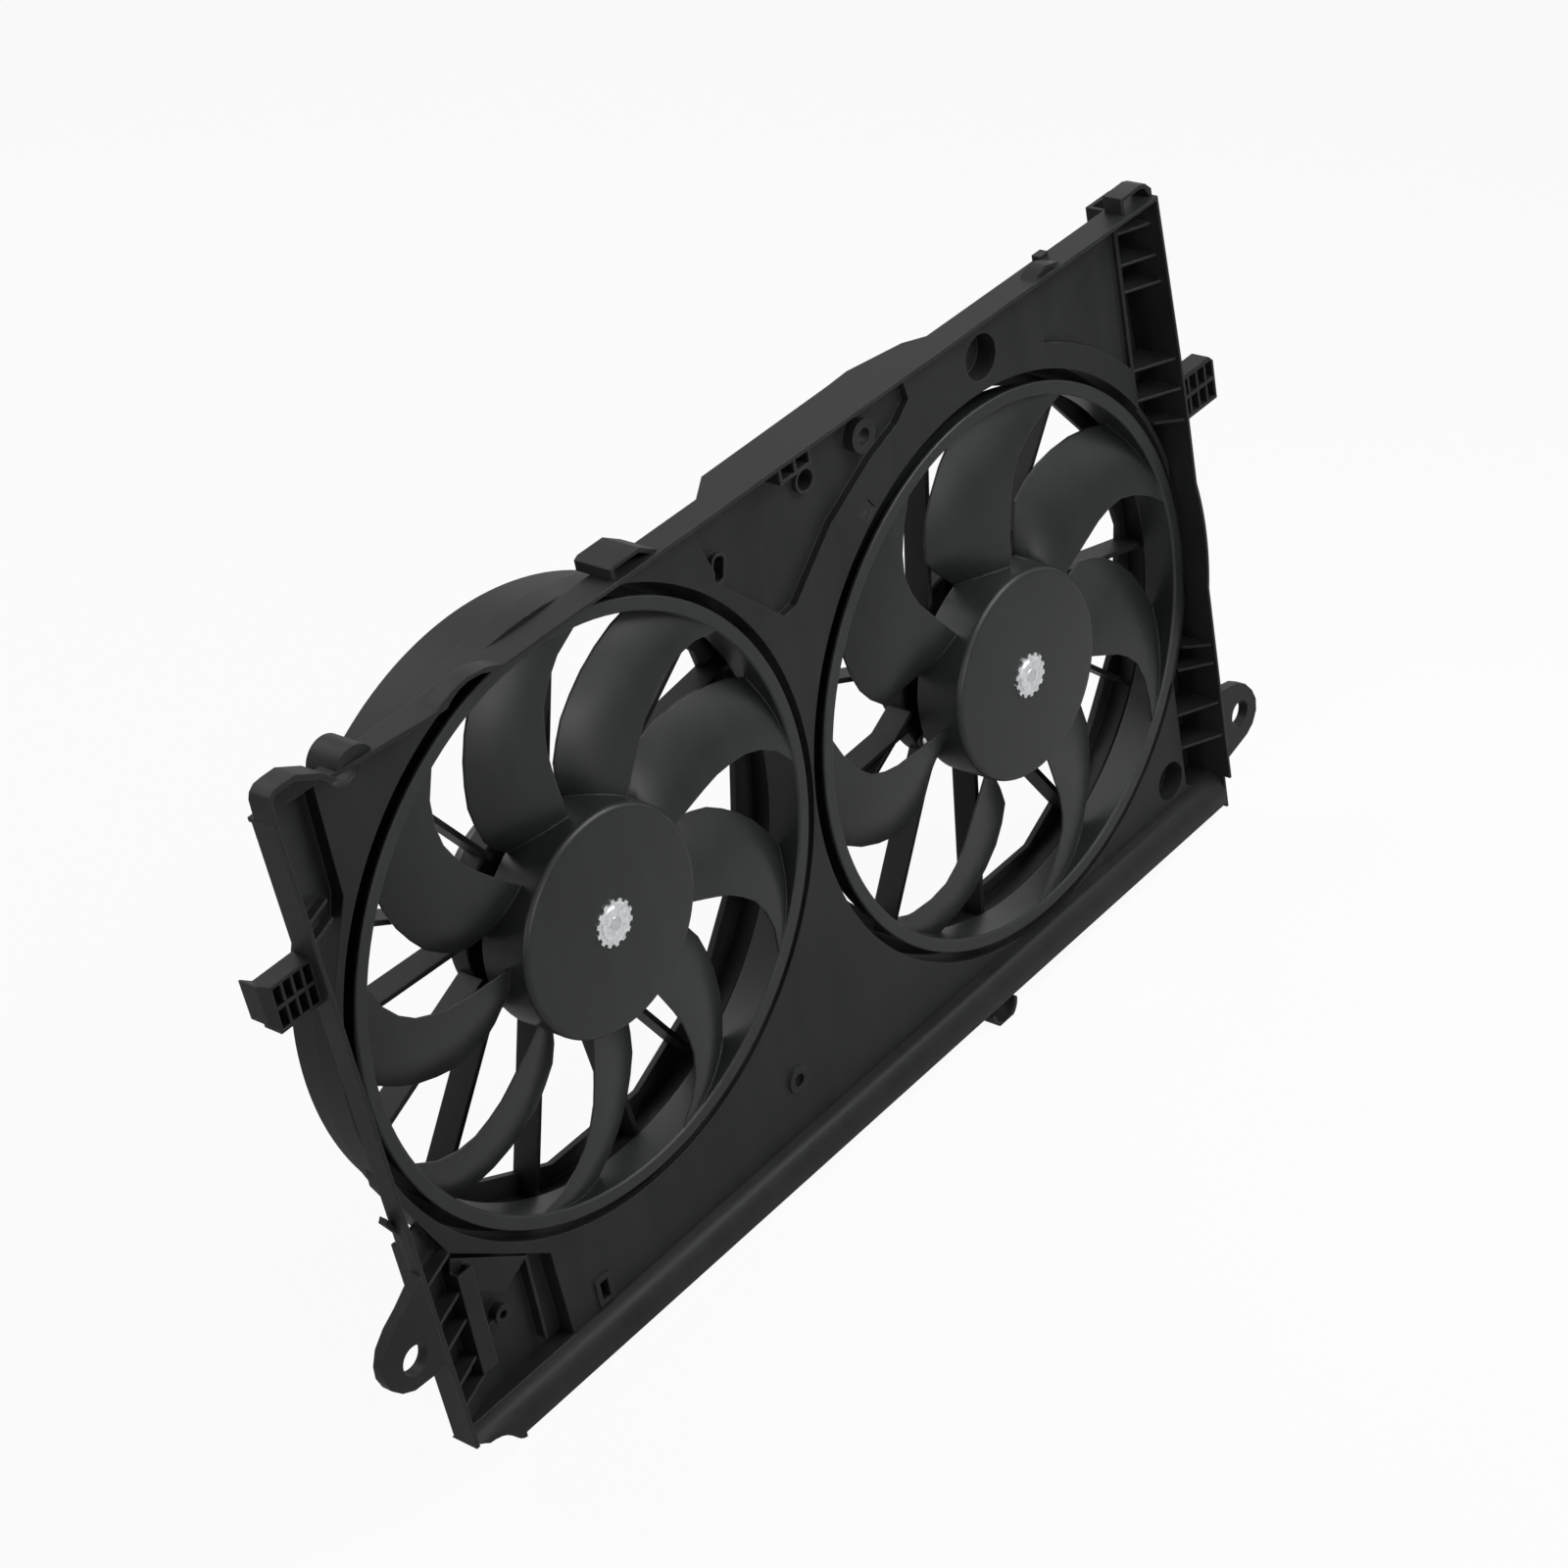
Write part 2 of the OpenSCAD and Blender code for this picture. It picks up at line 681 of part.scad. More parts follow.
// Deep-drawn can with its bearing seat and three fixing tabs
module motor_can() {
    i = can_r - can_t;
    s = bearing_r + can_t;
    c = 2;
    difference() {
        union() {
            turned() polygon([[bearing_r - 3, can_y], [can_r - c, can_y],
                [can_r - 0.3 * c, can_y + 0.3 * c], [can_r, can_y + c],
                [can_r, can_end], [i, can_end], [i, can_y + can_t],
                [s, can_y + can_t], [s, can_y + can_t + bearing_w],
                [bearing_r, can_y + can_t + bearing_w],
                [bearing_r, can_y + can_t], [bearing_r - 3, can_y + can_t]]);
            difference() {
                for (a = [90, 210, 330]) rotate([0, -a, 0])
                    slab(arm_y0 - tab_t, arm_y0) {
                        translate([screw_at, 0]) circle(r = 6);
                        translate([can_r - 4, -6]) square([screw_at - can_r + 4, 12]);
                    }
                bar(can_r - 0.5, arm_y0 - 5, arm_y0 + 1);
            }
        }
        screw_places() bar(screw_r, arm_y0 - 5, arm_y0 + 1);
    }
}

module motor_can_left() { color(steel) at_left() motor_can(); }
module motor_can_right() { color(steel) at_right() motor_can(); }

// Four curved magnets against the inside of the can
module magnets() {
    slab(core_y - 2, core_end + 2) difference() {
        circle(r = can_r - can_t, $fn = 180);
        circle(r = core_r + 1, $fn = 180);
        for (a = [0:90:270]) rotate(a)
            polygon([[0, 0], [60, -14], [60, 14]]);
    }
}

module magnets_left() { color("#3c3c3e") at_left() magnets(); }
module magnets_right() { color("#3c3c3e") at_right() magnets(); }

module bearing(y) {
    difference() {
        bar(bearing_r, y, y + bearing_w);
        bar(shaft_r + shaft_gap, y - 1, y + bearing_w + 1);
    }
}

module front_bearing_left() { color(zinc) at_left() bearing(can_y + can_t); }
module front_bearing_right() { color(zinc) at_right() bearing(can_y + can_t); }
module rear_bearing_left() { color(zinc) at_left() bearing(can_end); }
module rear_bearing_right() { color(zinc) at_right() bearing(can_end); }

// Insulating card that carries the two brush holders
module brush_card() {
    slab(card_y, can_end) difference() {
        circle(r = can_r - can_t, $fn = 180);
        circle(r = 15);
        translate([20, -4]) square([8, 8]);
    }
    for (s = [-1, 1]) box_at(16, 30, card_y - 5, card_y, s * 3.9 - 0.9, s * 3.9 + 0.9);
    for (s = [-1, 1]) box_at(-30, -16, card_y - 5, card_y, s * 3.9 - 0.9, s * 3.9 + 0.9);
}

module brush_card_left() { color("#5a4632") at_left() brush_card(); }
module brush_card_right() { color("#5a4632") at_right() brush_card(); }

// Two carbon brushes that face the commutator
module brushes() {
    box_at(12.3, 27, card_y - 5.5, card_y, -3, 3);
    box_at(-27, -12.3, card_y - 5.5, card_y, -3, 3);
}

module brushes_left() { color("#1c1c1e") at_left() brushes(); }
module brushes_right() { color("#1c1c1e") at_right() brushes(); }

// Rear cover with the seat of the rear bearing
module end_cap() {
    b = can_end + bearing_w;
    turned() polygon([[0, b], [bearing_r, b], [bearing_r, can_end], [can_r, can_end],
        [can_r, cap_end - 1], [can_r - 1, cap_end], [bearing_r + 3, cap_end],
        [bearing_r + 3, b + 1.5], [bearing_r + 2, b + 2.5], [0, b + 2.5]]);
}

module end_cap_left() { color(steel) at_left() end_cap(); }
module end_cap_right() { color(steel) at_right() end_cap(); }

// Three screws through the can's tabs into the motor ring
module motor_screws() {
    y = arm_y0 - tab_t;
    screw_places() {
        bar(4.8, y - 3.6, y);
        bar(screw_r, y, y + 13 - tab_t);
    }
}

module motor_screws_left() { color(zinc) at_left() motor_screws(); }
module motor_screws_right() { color(zinc) at_right() motor_screws(); }

// Two-way plug socket on the rear cover
module connector() {
    z0 = -can_r + 9;
    difference() {
        box_at(-13, 13, cap_end, cap_end + 17, z0, z0 + 16);
        box_at(-11, 11, cap_end + 3, cap_end + 18, z0 + 2, z0 + 14);
    }
    box_at(-6, -0.8 - 2, cap_end + 3, cap_end + 13, z0 + 5, z0 + 11);
    box_at(2.8, 6, cap_end + 3, cap_end + 13, z0 + 5, z0 + 11);
}

module connector_left() { color("#1f2123") at_left() connector(); }
module connector_right() { color("#1f2123") at_right() connector(); }

shroud_panel();
rim_top();
rim_left();
rim_right();
bottom_sill();
top_brackets();
ear_left();
ear_right();
side_clip_left();
side_clip_right();
duct_left();
duct_right();
carrier_arms_left();
carrier_arms_right();
motor_ring_left();
motor_ring_right();
fan_left();
fan_right();
push_nut_left();
push_nut_right();
shaft_left();
shaft_right();
armature_left();
armature_right();
windings_left();
windings_right();
commutator_left();
commutator_right();
motor_can_left();
motor_can_right();
magnets_left();
magnets_right();
front_bearing_left();
front_bearing_right();
rear_bearing_left();
rear_bearing_right();
brush_card_left();
brush_card_right();
brushes_left();
brushes_right();
end_cap_left();
end_cap_right();
motor_screws_left();
motor_screws_right();
connector_left();
connector_right();
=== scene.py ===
# %% [markdown]
# # Dressing a dual radiator fan assembly
# The frame holds every solid of the assembly, in metres: a moulded shroud, two banded fans and two motors. The plane
# y = 0 is the rim that seals against the radiator, +Y points rearward along both fan axes, and the origin is the hole
# of the left mounting ear. This lesson adds the camera, the light, the floor and the finishes, and it gives the shroud
# the finer forms of its moulding.

import bpy
import bmesh
import json
import math
from mathutils import Matrix, Vector

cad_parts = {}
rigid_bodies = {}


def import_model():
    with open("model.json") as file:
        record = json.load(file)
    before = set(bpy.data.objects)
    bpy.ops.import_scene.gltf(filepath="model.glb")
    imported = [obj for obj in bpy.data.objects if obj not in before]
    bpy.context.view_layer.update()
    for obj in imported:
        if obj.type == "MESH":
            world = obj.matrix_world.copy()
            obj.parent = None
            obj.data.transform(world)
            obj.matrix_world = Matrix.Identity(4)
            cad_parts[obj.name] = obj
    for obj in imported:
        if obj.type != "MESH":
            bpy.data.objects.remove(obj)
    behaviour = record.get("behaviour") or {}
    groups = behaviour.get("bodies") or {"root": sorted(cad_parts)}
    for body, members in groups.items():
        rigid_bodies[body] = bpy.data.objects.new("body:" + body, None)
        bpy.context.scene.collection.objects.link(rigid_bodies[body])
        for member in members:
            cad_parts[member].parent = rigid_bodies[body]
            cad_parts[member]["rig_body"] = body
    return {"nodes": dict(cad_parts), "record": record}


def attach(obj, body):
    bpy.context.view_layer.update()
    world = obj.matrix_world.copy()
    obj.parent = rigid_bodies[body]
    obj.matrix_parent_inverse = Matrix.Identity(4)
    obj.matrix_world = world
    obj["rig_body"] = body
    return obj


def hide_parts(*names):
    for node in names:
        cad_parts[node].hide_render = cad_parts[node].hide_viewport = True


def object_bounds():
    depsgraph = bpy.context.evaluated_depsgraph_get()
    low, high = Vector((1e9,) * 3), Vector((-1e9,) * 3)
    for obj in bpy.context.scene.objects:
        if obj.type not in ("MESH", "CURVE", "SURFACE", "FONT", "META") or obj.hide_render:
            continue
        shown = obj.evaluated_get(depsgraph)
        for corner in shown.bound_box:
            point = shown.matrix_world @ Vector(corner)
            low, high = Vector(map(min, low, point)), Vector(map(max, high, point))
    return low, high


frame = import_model()
nodes = frame["nodes"]
cad_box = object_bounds()

# %% [markdown]
# ## The camera
# The picture is taken from the radiator side, from the left and well above, with the camera rolled a little. A camera
# in Blender looks along its own -Z with +Y up, so its three axes make the columns of its matrix. They are written
# here as three directions in the assembly's frame, and straightened so that they are exactly at right angles.

# %% Camera
look = Vector((0.59091, 0.60554, -0.53305)).normalized()
across = Vector((0.63141, -0.75842, -0.16161))
across = (across - look * across.dot(look)).normalized()
up = across.cross(look)
camera = bpy.data.objects.new("camera", bpy.data.cameras.new("camera"))
camera.matrix_world = Matrix.Translation((-0.85187, -1.2132, 1.21669)) @ Matrix(
    (across, up, -look)).transposed().to_4x4()
camera.data.lens = 86.0
camera.data.sensor_width = 36.0
camera.data.clip_end = 50
scene = bpy.context.scene
scene.collection.objects.link(camera)
scene.camera = camera
scene.view_settings.view_transform = "Standard"
print("camera", [round(v, 3) for v in camera.location], "lens", camera.data.lens)

# %% [markdown]
# ## Writing shader maths as plain expressions
# A material is a graph of nodes, and long graphs are hard to read as code. So one small class wraps a socket: adding,
# multiplying or comparing two of them adds the Math node that does it, and plain numbers may stand on either side.

# %% A socket that can be calculated with
class Sock:
    def __init__(self, tree, socket):
        self.tree = tree
        self.socket = socket

    def math(self, operation, *others):
        values = {i: v for i, v in enumerate((self,) + others)}
        return node_in(self.tree, "ShaderNodeMath", {"operation": operation}, values)

    def __add__(self, other):
        return self.math("ADD", other)

    def __mul__(self, other):
        return self.math("MULTIPLY", other)

    def __rsub__(self, other):
        return node_in(self.tree, "ShaderNodeMath", {"operation": "SUBTRACT"}, {0: other, 1: self})

    def between(self, low, high):
        """0 below low, 1 above high, and a straight ramp from one to the other."""
        return node_in(self.tree, "ShaderNodeMapRange", {"clamp": True}, {0: self, 1: low, 2: high})


def node_in(tree, kind, settings=None, values=None, out=0):
    """One node of any type: its settings first, then the values or links of its sockets."""
    made = tree.nodes.new(kind)
    for key, value in (settings or {}).items():
        setattr(made, key, value)
    for key, value in (values or {}).items():
        if isinstance(value, Sock):
            tree.links.new(value.socket, made.inputs[key])
        else:
            made.inputs[key].default_value = value
    return Sock(tree, made.outputs[out])


class Finish:
    """A material under construction, with its Principled shader."""

    def __init__(self, name, **fixed):
        self.material = bpy.data.materials.new(name)
        self.material.use_nodes = True
        self.tree = self.material.node_tree
        self.shader = self.tree.nodes["Principled BSDF"]
        for key, value in fixed.items():
            self.shader.inputs[key.replace("_", " ")].default_value = value

    def node(self, kind, settings=None, values=None, out=0):
        return node_in(self.tree, kind, settings, values, out)

    def place(self):
        """The point on the surface in metres, in the assembly's own frame."""
        return self.node("ShaderNodeTexCoord", out=3)

    def noise(self, scale, detail=2.0, rough=0.5, vector=None):
        return self.node("ShaderNodeTexNoise", None, {
            "Vector": vector or self.place(), "Scale": scale, "Detail": detail, "Roughness": rough})

    def mix(self, share, first, second):
        made = self.tree.nodes.new("ShaderNodeMix")
        made.data_type = "RGBA"
        for socket, value in ((made.inputs[0], share), (made.inputs[6], first), (made.inputs[7], second)):
            if isinstance(value, Sock):
                self.tree.links.new(value.socket, socket)
            else:
                socket.default_value = value if isinstance(value, float) else (*value, 1)
        return Sock(self.tree, made.outputs[2])

    def set(self, name, value):
        self.tree.links.new(value.socket, self.shader.inputs[name])

    def bump(self, height, distance):
        self.set("Normal", self.node("ShaderNodeBump", None, {
            "Height": height, "Distance": distance, "Strength": 1.0}))


print("shader helpers ready")

# %% [markdown]
# ## Floor, background and light
# A product picture has an even white ground. The world is white where the camera or a reflection sees it, and softer
# where it lights the parts. The floor mixes a pale diffuse surface with the same white for the camera alone, so the
# shadow stays. Four broad lamps do the modelling: a near one above the panel, a low one in front that grazes the
# blades, one at the left and one behind for the top faces.

# %% World
world = bpy.data.worlds.new("studio")
scene.world = world
world.use_nodes = True
tree = world.node_tree
seen = node_in(tree, "ShaderNodeLightPath", out=0)
gloss = node_in(tree, "ShaderNodeLightPath", out=3)
through = node_in(tree, "ShaderNodeLightPath", out=6)
white_share = (seen + gloss + through).between(0.0, 1.0)
strength = white_share * 0.92 + 0.08
backdrop = tree.nodes["Background"]
backdrop.inputs["Color"].default_value = (1, 1, 1, 1)
tree.links.new(strength.socket, backdrop.inputs["Strength"])
print("world:", len(tree.nodes), "nodes")

# %% Floor
low = cad_box[0][2]
bm = bmesh.new()
bmesh.ops.create_grid(bm, x_segments=1, y_segments=1, size=4.0)
floor_mesh = bpy.data.meshes.new("floor")
bm.to_mesh(floor_mesh)
bm.free()
floor = bpy.data.objects.new("floor", floor_mesh)
floor.location = (0.35, 0.0, low)
scene.collection.objects.link(floor)
paper = Finish("paper floor", Roughness=0.9)
paper.shader.inputs["Base Color"].default_value = (0.86, 0.86, 0.86, 1)
glow = paper.node("ShaderNodeEmission", None, {"Color": (1, 1, 1, 1), "Strength": 1.0})
share = paper.node("ShaderNodeLightPath", out=0) * 0.93
shown = paper.node("ShaderNodeMixShader", None, {0: share, 1: Sock(paper.tree, paper.shader.outputs[0]), 2: glow})
paper.tree.links.new(shown.socket, paper.tree.nodes["Material Output"].inputs["Surface"])
floor_mesh.materials.append(paper.material)
print("floor at z =", round(low, 4))

# %% Lamps
def lamp(name, place, aim, size, power):
    light = bpy.data.lights.new(name, "AREA")
    light.shape = "RECTANGLE"
    light.size, light.size_y = size
    light.energy = power
    made = bpy.data.objects.new(name, light)
    made.location = place
    made.rotation_euler = (Vector(aim) - Vector(place)).to_track_quat("-Z", "Y").to_euler()
    scene.collection.objects.link(made)


lamp("key", (0.75, -0.5, 0.8), (0.42, 0.0, 0.3), (0.8, 0.3), 8)
lamp("front", (-0.3, -2.3, 0.35), (0.35, 0.0, 0.25), (0.8, 0.5), 13)
lamp("left", (-1.5, -0.1, 0.6), (0.0, 0.05, 0.1), (0.8, 0.8), 9)
lamp("rear", (0.2, 1.8, 1.6), (0.37, 0.0, 0.12), (1.6, 0.8), 16)
print("lamps:", len(bpy.data.lights))

# %% [markdown]
# ## Moulded plastic
# The shroud is a glass-filled plastic, nearly black, with a fine spark-eroded skin. Its gloss drifts a little where the
# melt cooled at different speeds, the flow leaves faint upright streaks, and every edge gets a painted highlight, a
# paler colour broken into patches by noise. The grain is a bump of a twentieth of a millimetre. The streaks are noise
# that is stretched along Z. The painted edge highlight comes from the Bevel node: where its rounded normal leaves the
# true one, there is an edge within reach.

# %% Plastic finishes
def moulded(name, dark, pale, painted_edge_color, rough, grain, edge=0.001, gloss=0.16):
    made = Finish(name, Specular_IOR_Level=gloss)
    place = made.place()
    drift = made.noise(9.0, 4.0, 0.6)
    flow = made.noise(60.0, 3.0, 0.6, made.node(
        "ShaderNodeVectorMath", {"operation": "MULTIPLY"}, {0: place, 1: (1.0, 1.0, 0.12)}))
    rounded = made.node("ShaderNodeBevel", {"samples": 4}, {"Radius": edge})
    facing = made.node("ShaderNodeVectorMath", {"operation": "DOT_PRODUCT"}, {
        0: rounded, 1: made.node("ShaderNodeNewGeometry", out=1)}, out=1)
    # Painted highlight: every edge, convex or concave, is painted a paler colour, in patches of noise.
    painted_edge_highlight = (1 - facing).between(0.03, 0.3) * made.noise(55.0, 4.0, 0.6).between(0.3, 0.6)
    skin_color = made.mix((drift * 0.6 + flow * 0.4).between(0.35, 0.68), dark, pale)
    made.set("Base Color", made.mix(painted_edge_highlight, skin_color, painted_edge_color))
    made.set("Roughness", (drift * 0.16 + flow * 0.1) + (rough - 0.13))
    skin = made.noise(2200.0, 2.0, 0.5) * 0.7 + made.noise(700.0, 2.0, 0.5) * 0.3
    bump = made.node("ShaderNodeBump", None, {
        "Height": skin, "Distance": grain, "Strength": 1.0, "Normal": rounded})
    made.set("Normal", bump)
    return made.material


# The third colour of each finish is its paler edge colour, a painted highlight along the edges.
shroud_plastic = moulded("grained shroud plastic", (0.0085, 0.009, 0.009), (0.017, 0.018, 0.0175),
                         (0.05, 0.052, 0.052), 0.46, 0.00005)
fan_plastic = moulded("satin fan plastic", (0.009, 0.0097, 0.0098), (0.0155, 0.0168, 0.017),
                      (0.045, 0.047, 0.048), 0.38, 0.00002, 0.0012, 0.3)
coated_steel = moulded("black coated steel", (0.008, 0.0085, 0.009), (0.014, 0.015, 0.0155),
                       (0.06, 0.06, 0.062), 0.36, 0.00004, 0.0008, 0.4)
socket_plastic = moulded("socket plastic", (0.008, 0.0085, 0.009), (0.014, 0.0145, 0.015),
                         (0.04, 0.041, 0.042), 0.5, 0.00003)
print("plastics:", shroud_plastic.name, fan_plastic.name, socket_plastic.name)

# %% [markdown]
# ## Metals
# The push nuts and screws are bright zinc, a bluish silver with a soft crystal mottle. The shafts are ground. The
# copper of the coils and the stacked laminations of the core only show when the motor is opened, but they get their
# own finish all the same.

# %% Metal finishes
def metal(name, dark, pale, rough, scale, depth):
    made = Finish(name, Metallic=1.0)
    spots = made.noise(scale, 4.0, 0.6)
    made.set("Base Color", made.mix(spots.between(0.3, 0.7), dark, pale))
    made.set("Roughness", spots * 0.2 + (rough - 0.1))
    made.bump(made.noise(scale * 5, 2.0, 0.5), depth)
    return made.material


zinc = metal("bright zinc plate", (0.55, 0.58, 0.6), (0.86, 0.87, 0.87), 0.3, 420.0, 0.00004)
ground = metal("ground steel", (0.5, 0.51, 0.53), (0.66, 0.67, 0.68), 0.25, 600.0, 0.00002)
core_steel = metal("laminated core steel", (0.2, 0.2, 0.21), (0.32, 0.32, 0.33), 0.45, 300.0, 0.00005)
copper = metal("enamelled copper", (0.52, 0.22, 0.1), (0.78, 0.42, 0.24), 0.32, 260.0, 0.00008)
print("metals:", zinc.name, ground.name, core_steel.name, copper.name)

# %% [markdown]
# ## The motor's other stuff
# The magnets are sintered ferrite, a dull grey ceramic. The brushes are pressed carbon and the card that holds them is
# brown phenolic board. All three are matt and grainy, so one recipe with three colours does for them.

# %% Matt finishes
def matt(name, dark, pale, rough, scale):
    made = Finish(name)
    grain = made.noise(scale, 5.0, 0.65)
    made.set("Base Color", made.mix(grain.between(0.35, 0.65), dark, pale))
    made.set("Roughness", grain * 0.15 + (rough - 0.07))
    made.bump(grain, 0.0001)
    return made.material


ferrite = matt("sintered ferrite", (0.05, 0.05, 0.055), (0.1, 0.1, 0.11), 0.75, 500.0)
carbon = matt("pressed carbon", (0.02, 0.02, 0.022), (0.05, 0.05, 0.055), 0.6, 700.0)
card = matt("phenolic card", (0.13, 0.07, 0.035), (0.2, 0.12, 0.06), 0.55, 220.0)
print("matt finishes:", ferrite.name, carbon.name, card.name)

# %% Assign the finishes to the frame's own pieces
finishes = {
    "shroud_plastic": shroud_plastic, "fan_plastic": fan_plastic, "socket_plastic": socket_plastic,
    "zinc_plate": zinc, "can_steel": coated_steel, "ground_steel": ground, "core_steel": core_steel,
    "copper": copper, "ferrite": ferrite, "carbon": carbon, "card": card}
slots = {entry["node"]: entry["material_slot"] for entry in frame["record"]["subparts"]}
for name, piece in nodes.items():
    piece.data.materials.clear()
    piece.data.materials.append(finishes[slots[name]])
print("dressed", len(nodes), "pieces")

# %% [markdown]
# ## The shroud's moulding
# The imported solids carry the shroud's main walls. A real shroud is one large moulding, full of steps, gussets,
# pockets and rolled edges. Those are built here as closed solids, the way a mould maker thinks: walls are flat outlines
# pulled through a depth, ducts are profiles turned about the fan axis, and pockets are cut out with the same tools.
# Sizes are in millimetres in the assembly's frame, so each section lands on the solid that it stands for.

# %% Sizes of the shroud, in millimetres
lx, lz = 195.0, 145.0  # axis of the left fan
rx, rz = 545.0, 95.0  # axis of the right fan
throat_r, throat_out = 176.0, 179.0  # throat in front of each duct: radius inside and outside
duct_r, duct_out = 168.5, 171.5
cone_start, cone_end, duct_end = 34, 42, 59.0  # depths where the throat narrows and where the duct ends
wall, thin = 2.5, 1.6  # thickness of the walls, and of gussets and partitions
front_y, panel_back, floor_y = 16.0, 18.5, 32.0  # depths of the panel's faces and of the right channel's floor
recess_depth = 5.0
wall_l, wall_r = 13.0, 719.0  # outer faces of the side walls, level with the left axis
lean_out, lean_rise = 7, 177  # the left wall leans out by 7 mm over a rise of 177 mm
right_inner = wall_r - thin
top_z, top_in = 322.0, 319.5  # upper and lower face of the top wall
sill_top, bottom_z = -79.0, -103.0
bend_z = lz + 50  # above this height the right wall leans in
edge_x = wall_r - 26  # where the right channel begins
skim = 0.01  # overlap of two tools that meet


def left_x(z):
    return wall_l - lean_out * (z - lz) / lean_rise


def left_in(z):
    return left_x(z) + wall


def right_x(z):
    return wall_r - max(0, z - bend_z) * 0.04


def right_in(z):
    return right_x(z) - thin


def from_left(points):
    return [(lx + x, lz + z) for x, z in points]


def from_top(points):
    return [(lx + x, top_z + z) for x, z in points]


def circle(r, x, z, count):
    return [(x + r * math.cos(math.tau * i / count), z + r * math.sin(math.tau * i / count)) for i in range(count)]


print("shroud", wall_r - wall_l, "wide,", top_z - bottom_z, "high")

# %% Solids: two rings of points with a skin between them, and turned profiles
def closed(rings, caps):
    """A solid through rings of points in millimetres, capped at both ends or joined end to end."""
    bm = bmesh.new()
    rows = [[bm.verts.new([c / 1000 for c in p]) for p in ring] for ring in rings]
    for row, after in zip(rows, rows[1:] if caps else rows[1:] + rows[:1]):
        for i in range(len(row)):
            k = (i + 1) % len(row)
            bm.faces.new((row[i], row[k], after[k], after[i]))
    if caps:
        bm.faces.new(rows[0])
        bm.faces.new(rows[-1])
    bmesh.ops.recalc_face_normals(bm, faces=bm.faces)
    if bm.calc_volume(signed=True) < 0:
        bmesh.ops.reverse_faces(bm, faces=bm.faces)
    mesh = bpy.data.meshes.new("solid")
    bm.to_mesh(mesh)
    bm.free()
    made = bpy.data.objects.new("solid", mesh)
    scene.collection.objects.link(made)
    return made


def prism(y0, y1, outline):
    """A flat outline in x and z, pulled from depth y0 to y1."""
    return closed([[(x, y, z) for x, z in outline] for y in (y0, y1)], True)


def plate(z0, z1, outline, lean=0.0):
    """A flat outline in x and y, pulled from height z0 to z1, and sheared sideways by lean per millimetre."""
    return closed([[(x + lean * (z - lz), y, z) for x, y in outline] for z in (z0, z1)], True)


def block(x0, x1, y0, y1, z0, z1):
    return plate(z0, z1, [(x0, y0), (x1, y0), (x1, y1), (x0, y1)])


def bar(r, y0, y1, x, z, count=96):
    return prism(y0, y1, circle(r, x, z, count))


def turned(profile, x, z, count=180):
    """A closed profile of radius and depth, turned about the axis through x and z."""
    return closed([[(x + r * math.cos(a), y, z + r * math.sin(a)) for r, y in profile]
                   for a in [math.tau * i / count for i in range(count)]], False)


def combine(base, operation, tools):
    """Applies each tool to the base by a boolean, and deletes the tools."""
    for tool in tools:
        step = base.modifiers.new("step", "BOOLEAN")
        step.operation = operation
        step.solver = "MANIFOLD"
        step.object = tool
    ready = base.evaluated_get(bpy.context.evaluated_depsgraph_get())
    mesh = bpy.data.meshes.new_from_object(ready)
    base.modifiers.clear()
    base.data = mesh
    for tool in tools:
        bpy.data.objects.remove(tool)
    return base


def join(base, *tools):
    return combine(base, "UNION", tools)


def cut(base, *tools):
    return combine(base, "DIFFERENCE", tools)


def keep(base, *tools):
    return combine(base, "INTERSECT", tools)


def wear(piece, name, body, corner=30):
    """Names a finished piece, shades it and puts it in the place of the solid of that name."""
    piece.name = name + "_skin"
    piece.data.name = piece.name
    piece.data.shade_smooth()
    piece.data.set_sharp_from_angle(angle=math.radians(corner))
    piece.data.materials.clear()
    piece.data.materials.append(finishes[slots[name]])
    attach(piece, body)
    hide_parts(name)
    print(piece.name, len(piece.data.polygons), "faces")


print("solid helpers ready")

# %% [markdown]
# ## The front panel
# The panel is a sheet with two round openings. Its outline leaves a channel free along the left and the right wall. The
# channel floors lie deeper, and the left one slopes back with the wall that leans out above it. A walled recess fills
# the space between the openings, a shallow field the upper right corner, and blind cups, bosses and slots take clips.

# %% Outlines of the panel
def inside():
    return [(left_in(top_in), top_in), (right_in(top_in), top_in), (right_inner, bend_z), (right_inner, sill_top),
            (left_in(sill_top), sill_top)]


def front(shift=0.0):
    return [(x + shift, z) for x, z in [
        (lx - 150, top_in), (edge_x, top_in), (edge_x, sill_top + 4), (edge_x + 6, sill_top), (lx - 80, sill_top)]
        + from_left([(-82, -166), (-104, -150), (-146, -118), (-172, -60), (-172, 60), (-150, 108)])]


def recess(inset):
    """The recess, inset by a wall, with its corners rounded where the outline turns outward."""
    radius, steps = 5, 4
    points = [Vector(p) for p in from_left([
        (118, 168), (134, 122), (176, 80), (188, 81), (226, 112), (266, 132), (290, 140), (304, 150), (300, 168)])]
    made = []
    for i, p in enumerate(points):
        a, b = (p - points[i - 1]).normalized(), (points[(i + 1) % len(points)] - p).normalized()
        left = Vector((-a.y, a.x)), Vector((-b.y, b.x))
        mitre = (left[0] + left[1]) / (1 + left[0].dot(left[1]))
        if a.cross(b) > 0:
            middle = p + mitre * radius
            turn = math.atan2(-left[0].y, -left[0].x), math.atan2(-left[1].y, -left[1].x)
            sweep = (turn[1] - turn[0]) % math.tau
            for k in range(steps + 1):
                angle = turn[0] + sweep * k / steps
                made.append((middle.x + (radius - inset) * math.cos(angle),
                             middle.y + (radius - inset) * math.sin(angle)))
        else:
            made.append(tuple(p + mitre * inset))
    return made


def field(grow):
    """The shallow field in the upper right corner, grown by a wall."""
    return [(edge_x + 1, top_in - 1 - grow), (lx + 512, top_in - 1 - grow), (lx + 419 + 2 * grow, lz + 129),
            (lx + 419, lz + 60), (edge_x + 1, lz + 60)]


